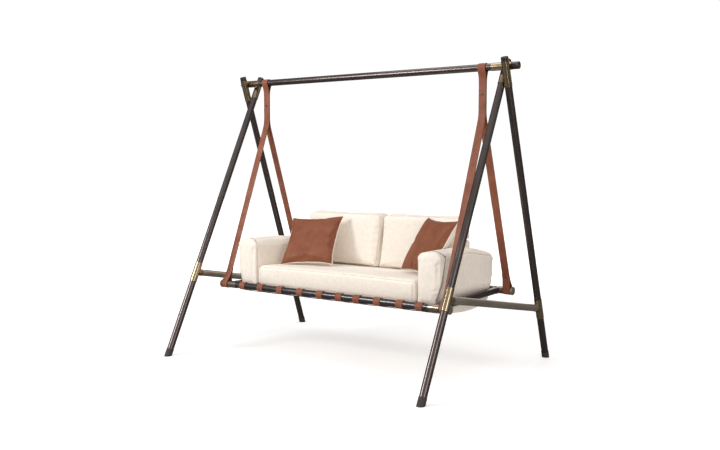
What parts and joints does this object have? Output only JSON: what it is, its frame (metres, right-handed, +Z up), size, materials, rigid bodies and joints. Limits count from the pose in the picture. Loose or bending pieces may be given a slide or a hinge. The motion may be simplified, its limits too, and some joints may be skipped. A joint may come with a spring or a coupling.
{
  "type": "glider swing",
  "caption": "Hanging garden swing sofa: upholstered seat on a tube frame with leather webbing, slung by leather yokes from the bar of an A-shaped tube stand.",
  "frame": {"origin": "on the ground in the middle of the four feet", "axes": "+X along the top bar to the sitter's left, +Y from the seat's front to its rear, +Z up"},
  "size_m": [2.496, 1.6987, 2.1418],
  "materials": {
    "dark_tube": "satin gunmetal brown with fine lengthwise hairlines",
    "bronze_tube": "satin bronze plated tube",
    "bronze_fitting": "polished antique bronze casting",
    "pale_bronze_cap": "satin pale bronze",
    "foot_rubber": "matt black",
    "snap_metal": "dark nickel",
    "tan_leather": "saddle leather with dark painted edges",
    "rust_pillow_cover": "soft rust leather face with cream piping and back",
    "cream_upholstery": "fine cream outdoor weave"
  },
  "bodies": {
    "stand": {"bar_caps": "dark_tube", "connector_left": "bronze_fitting", "connector_right": "bronze_fitting", "foot_front_left": "foot_rubber", "foot_front_right": "foot_rubber", "foot_rear_left": "foot_rubber", "foot_rear_right": "foot_rubber", "leg_caps": "dark_tube", "leg_front_left": "dark_tube", "leg_front_right": "dark_tube", "leg_rear_left": "dark_tube", "leg_rear_right": "dark_tube", "stretcher_left": "bronze_tube", "stretcher_right": "bronze_tube", "stretcher_tee_front_left": "bronze_fitting", "stretcher_tee_front_right": "bronze_fitting", "stretcher_tee_rear_left": "bronze_fitting", "stretcher_tee_rear_right": "bronze_fitting", "top_bar": "dark_tube"},
    "swing": {"arm_left": "cream_upholstery", "arm_right": "cream_upholstery", "back_cushion_left": "cream_upholstery", "back_cushion_right": "cream_upholstery", "back_panel": "cream_upholstery", "hanger_left": "tan_leather", "hanger_right": "tan_leather", "hanger_snaps": "snap_metal", "pillow_left": "rust_pillow_cover", "pillow_right": "rust_pillow_cover", "rail_cap_front_left": "pale_bronze_cap", "rail_cap_front_right": "pale_bronze_cap", "rail_cap_rear_left": "pale_bronze_cap", "rail_cap_rear_right": "pale_bronze_cap", "rail_front": "dark_tube", "rail_rear": "dark_tube", "rail_tee_front_left": "bronze_fitting", "rail_tee_front_right": "bronze_fitting", "rail_tee_rear_left": "bronze_fitting", "rail_tee_rear_right": "bronze_fitting", "seat_cushion": "cream_upholstery", "side_tube_left": "dark_tube", "side_tube_right": "dark_tube", "sofa_base": "cream_upholstery", "strap_front_left": "tan_leather", "strap_front_right": "tan_leather", "strap_rear_left": "tan_leather", "strap_rear_right": "tan_leather", "strap_rivets": "snap_metal", "webbing_01": "tan_leather", "webbing_02": "tan_leather", "webbing_03": "tan_leather", "webbing_04": "tan_leather", "webbing_05": "tan_leather", "webbing_06": "tan_leather", "webbing_07": "tan_leather", "webbing_08": "tan_leather", "webbing_09": "tan_leather", "webbing_10": "tan_leather"}
  },
  "joints": [
    {"name": "swing_hinge", "type": "hinge", "parent": "stand", "child": "swing", "pos_m": [0, 0.15, 2.08], "axis": [1, 0, 0], "range_deg": [-20, 20]}
  ]
}
